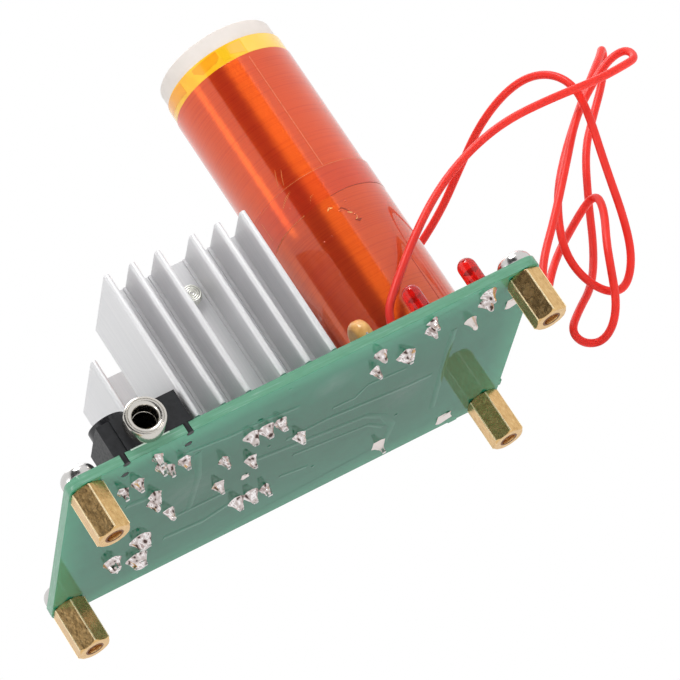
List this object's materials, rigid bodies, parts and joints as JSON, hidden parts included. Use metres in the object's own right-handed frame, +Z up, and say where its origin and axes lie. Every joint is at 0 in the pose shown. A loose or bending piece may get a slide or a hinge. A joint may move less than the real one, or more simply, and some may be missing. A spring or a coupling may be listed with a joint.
{
  "type": "desktop resonant transformer",
  "caption": "Small demonstration resonant transformer: a tall wound coil on a circuit board with finned transistor heatsinks, audio and power sockets and a loose primary wire.",
  "frame": {"origin": "centre of the four standoffs' threaded holes, on the table", "axes": "+X along the board from the sockets to the coil, +Y across it towards the power socket's mouth, +Z up along the coil"},
  "size_m": [0.1215, 0.0478, 0.0708],
  "materials": {
    "board": "gloss",
    "brass_post": "satin",
    "screw_steel": "satin",
    "heatsink": "satin",
    "tinned": "satin",
    "black_moulding": "matte",
    "nickel": "gloss",
    "spring_bronze": "satin",
    "can_aluminium": "satin",
    "black_sleeve": "gloss",
    "bung_rubber": "matte",
    "red_lens": "gloss",
    "ochre_ceramic": "satin",
    "resistor_lacquer": "satin",
    "white_tube": "satin",
    "winding_enamel": "gloss",
    "orange_film": "gloss",
    "yellow_tape": "gloss",
    "clear_glue": "gloss",
    "red_insulation": "gloss",
    "solder": "gloss"
  },
  "bodies": {
    "board_assembly": {"audio_jack_body": "black_moulding", "audio_jack_nose": "nickel", "audio_jack_pins": "tinned", "back_heatsink": "heatsink", "back_transistor_case": "black_moulding", "back_transistor_leads": "tinned", "back_transistor_tab": "tinned", "base_resistor_body": "resistor_lacquer", "base_resistor_leads": "tinned", "board_screws": "screw_steel", "capacitor_bung": "bung_rubber", "capacitor_can": "can_aluminium", "capacitor_leads": "tinned", "capacitor_sleeve": "black_sleeve", "ceramic_capacitor_disc": "ochre_ceramic", "ceramic_capacitor_leads": "tinned", "circuit_board": "board", "coil_former": "white_tube", "coil_glue": "clear_glue", "front_heatsink": "heatsink", "front_transistor_case": "black_moulding", "front_transistor_leads": "tinned", "front_transistor_tab": "tinned", "heatsink_screws": "screw_steel", "lamp_resistor_body": "resistor_lacquer", "lamp_resistor_leads": "tinned", "left_lamp_leads": "tinned", "left_lamp_lens": "red_lens", "link_wire_ends": "tinned", "lower_film_wrap": "orange_film", "power_jack_body": "black_moulding", "power_jack_pin": "nickel", "power_jack_terminals": "tinned", "primary_wire": "red_insulation", "primary_wire_ends": "tinned", "right_lamp_leads": "tinned", "right_lamp_lens": "red_lens", "secondary_winding": "winding_enamel", "solder_joints": "solder", "standoffs": "brass_post", "top_tape_ring": "yellow_tape", "winding_film": "orange_film", "winding_lead": "winding_enamel"},
    "audio_tip_leaf": {"audio_tip_spring": "spring_bronze"},
    "audio_ring_leaf": {"audio_ring_spring": "spring_bronze"},
    "power_sleeve_leaf": {"power_sleeve_spring": "spring_bronze"}
  },
  "joints": [
    {"name": "audio_tip_press", "type": "hinge", "parent": "board_assembly", "child": "audio_tip_leaf", "pos_m": [-0.02687, -0.0146, 0.0123], "axis": [0, 0, -1], "range_deg": [0, 7], "stiffness_Nm_per_rad": 0.004},
    {"name": "audio_ring_press", "type": "hinge", "parent": "board_assembly", "child": "audio_ring_leaf", "pos_m": [-0.02403, -0.0146, 0.0123], "axis": [0, 0, 1], "range_deg": [0, 7], "stiffness_Nm_per_rad": 0.004},
    {"name": "power_sleeve_press", "type": "hinge", "parent": "board_assembly", "child": "power_sleeve_leaf", "pos_m": [-0.0258, 0.0141, 0.01305], "axis": [-1, 0, 0], "range_deg": [0, 5], "stiffness_Nm_per_rad": 0.004}
  ]
}
